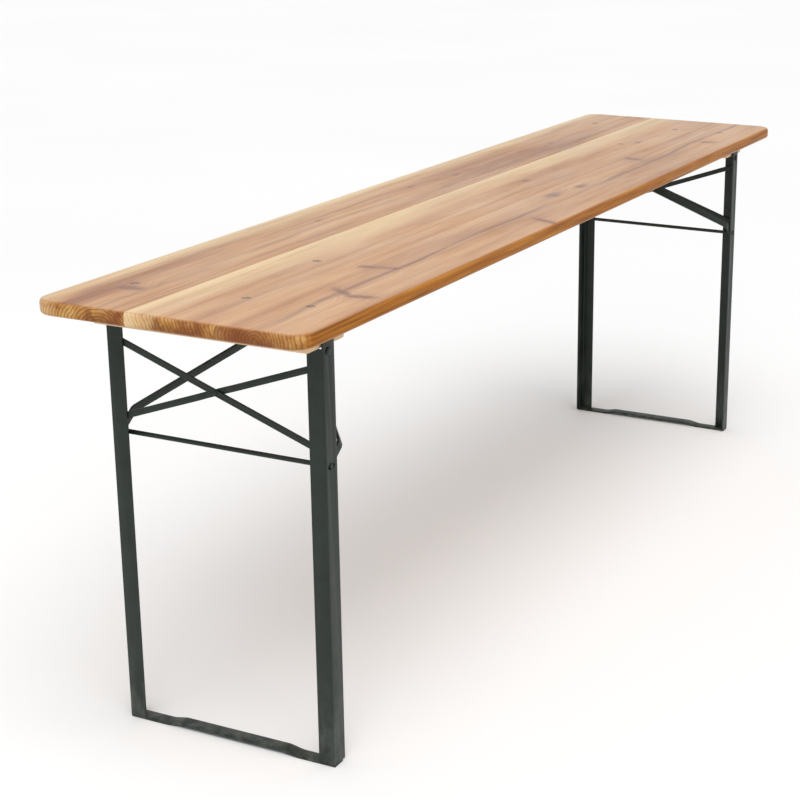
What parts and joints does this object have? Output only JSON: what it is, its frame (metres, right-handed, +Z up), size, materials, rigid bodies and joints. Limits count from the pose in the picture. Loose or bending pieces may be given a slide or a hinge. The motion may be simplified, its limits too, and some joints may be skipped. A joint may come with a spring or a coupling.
{
  "type": "folding table",
  "caption": "Long folding bench table with a varnished plank top on two folding angle-iron leg frames, each held by a two-armed brace.",
  "frame": {"origin": "on the floor, under the middle of the table", "axes": "+X along the table towards its right end, +Y across it towards the back, +Z up"},
  "size_m": [2.2, 0.5, 0.77],
  "materials": {
    "back_board": "clear varnish, semi-gloss, reddish heartwood",
    "middle_board": "clear varnish, semi-gloss, cream sapwood",
    "front_board": "clear varnish, semi-gloss, pinkish-tan heartwood",
    "batten_wood": "bare planed softwood",
    "green_paint": "dark moss-green powder coat, satin",
    "zinc_steel": "zinc-plated steel",
    "spring_steel": "blued spring steel"
  },
  "bodies": {
    "table_top": {"back_board": "back_board", "middle_board": "middle_board", "front_board": "front_board", "left_batten": "batten_wood", "right_batten": "batten_wood", "batten_rivets": "zinc_steel", "catch_rivets": "zinc_steel", "catch_screws": "zinc_steel", "bracket_screws": "zinc_steel", "leg_hinge_rivets": "green_paint", "left_front_hinge_bracket": "green_paint", "left_back_hinge_bracket": "green_paint", "right_front_hinge_bracket": "green_paint", "right_back_hinge_bracket": "green_paint", "left_catch": "spring_steel", "right_catch": "spring_steel"},
    "left_leg_frame": {"left_front_leg": "green_paint", "left_back_leg": "green_paint", "left_foot_bar": "green_paint", "left_cross_rod": "green_paint", "left_rear_cross_bar": "green_paint", "left_face_cross_bar": "green_paint", "left_cross_rivet": "green_paint"},
    "left_brace": {"left_front_brace_arm": "green_paint", "left_back_brace_arm": "green_paint", "left_tongue_rivets": "green_paint"},
    "right_leg_frame": {"right_front_leg": "green_paint", "right_back_leg": "green_paint", "right_foot_bar": "green_paint", "right_cross_rod": "green_paint", "right_rear_cross_bar": "green_paint", "right_face_cross_bar": "green_paint", "right_cross_rivet": "green_paint"},
    "right_brace": {"right_front_brace_arm": "green_paint", "right_back_brace_arm": "green_paint", "right_tongue_rivets": "green_paint"}
  },
  "joints": [
    {"name": "left_leg_fold", "type": "hinge", "parent": "table_top", "child": "left_leg_frame", "pos_m": [-0.961, 0, 0.708], "axis": [0, -1, 0], "range_deg": [0, 90]},
    {"name": "left_brace_fold", "type": "hinge", "parent": "left_leg_frame", "child": "left_brace", "pos_m": [-0.96, 0, 0.52], "axis": [0, 1, 0], "range_deg": [0, 127]},
    {"name": "right_leg_fold", "type": "hinge", "parent": "table_top", "child": "right_leg_frame", "pos_m": [0.961, 0, 0.708], "axis": [0, 1, 0], "range_deg": [0, 90]},
    {"name": "right_brace_fold", "type": "hinge", "parent": "right_leg_frame", "child": "right_brace", "pos_m": [0.96, 0, 0.52], "axis": [0, -1, 0], "range_deg": [0, 127]}
  ],
  "couplings": [
    {"joint": "left_brace_fold", "follows": "left_leg_fold", "ratio": 1.4048},
    {"joint": "right_brace_fold", "follows": "right_leg_fold", "ratio": 1.4048}
  ]
}
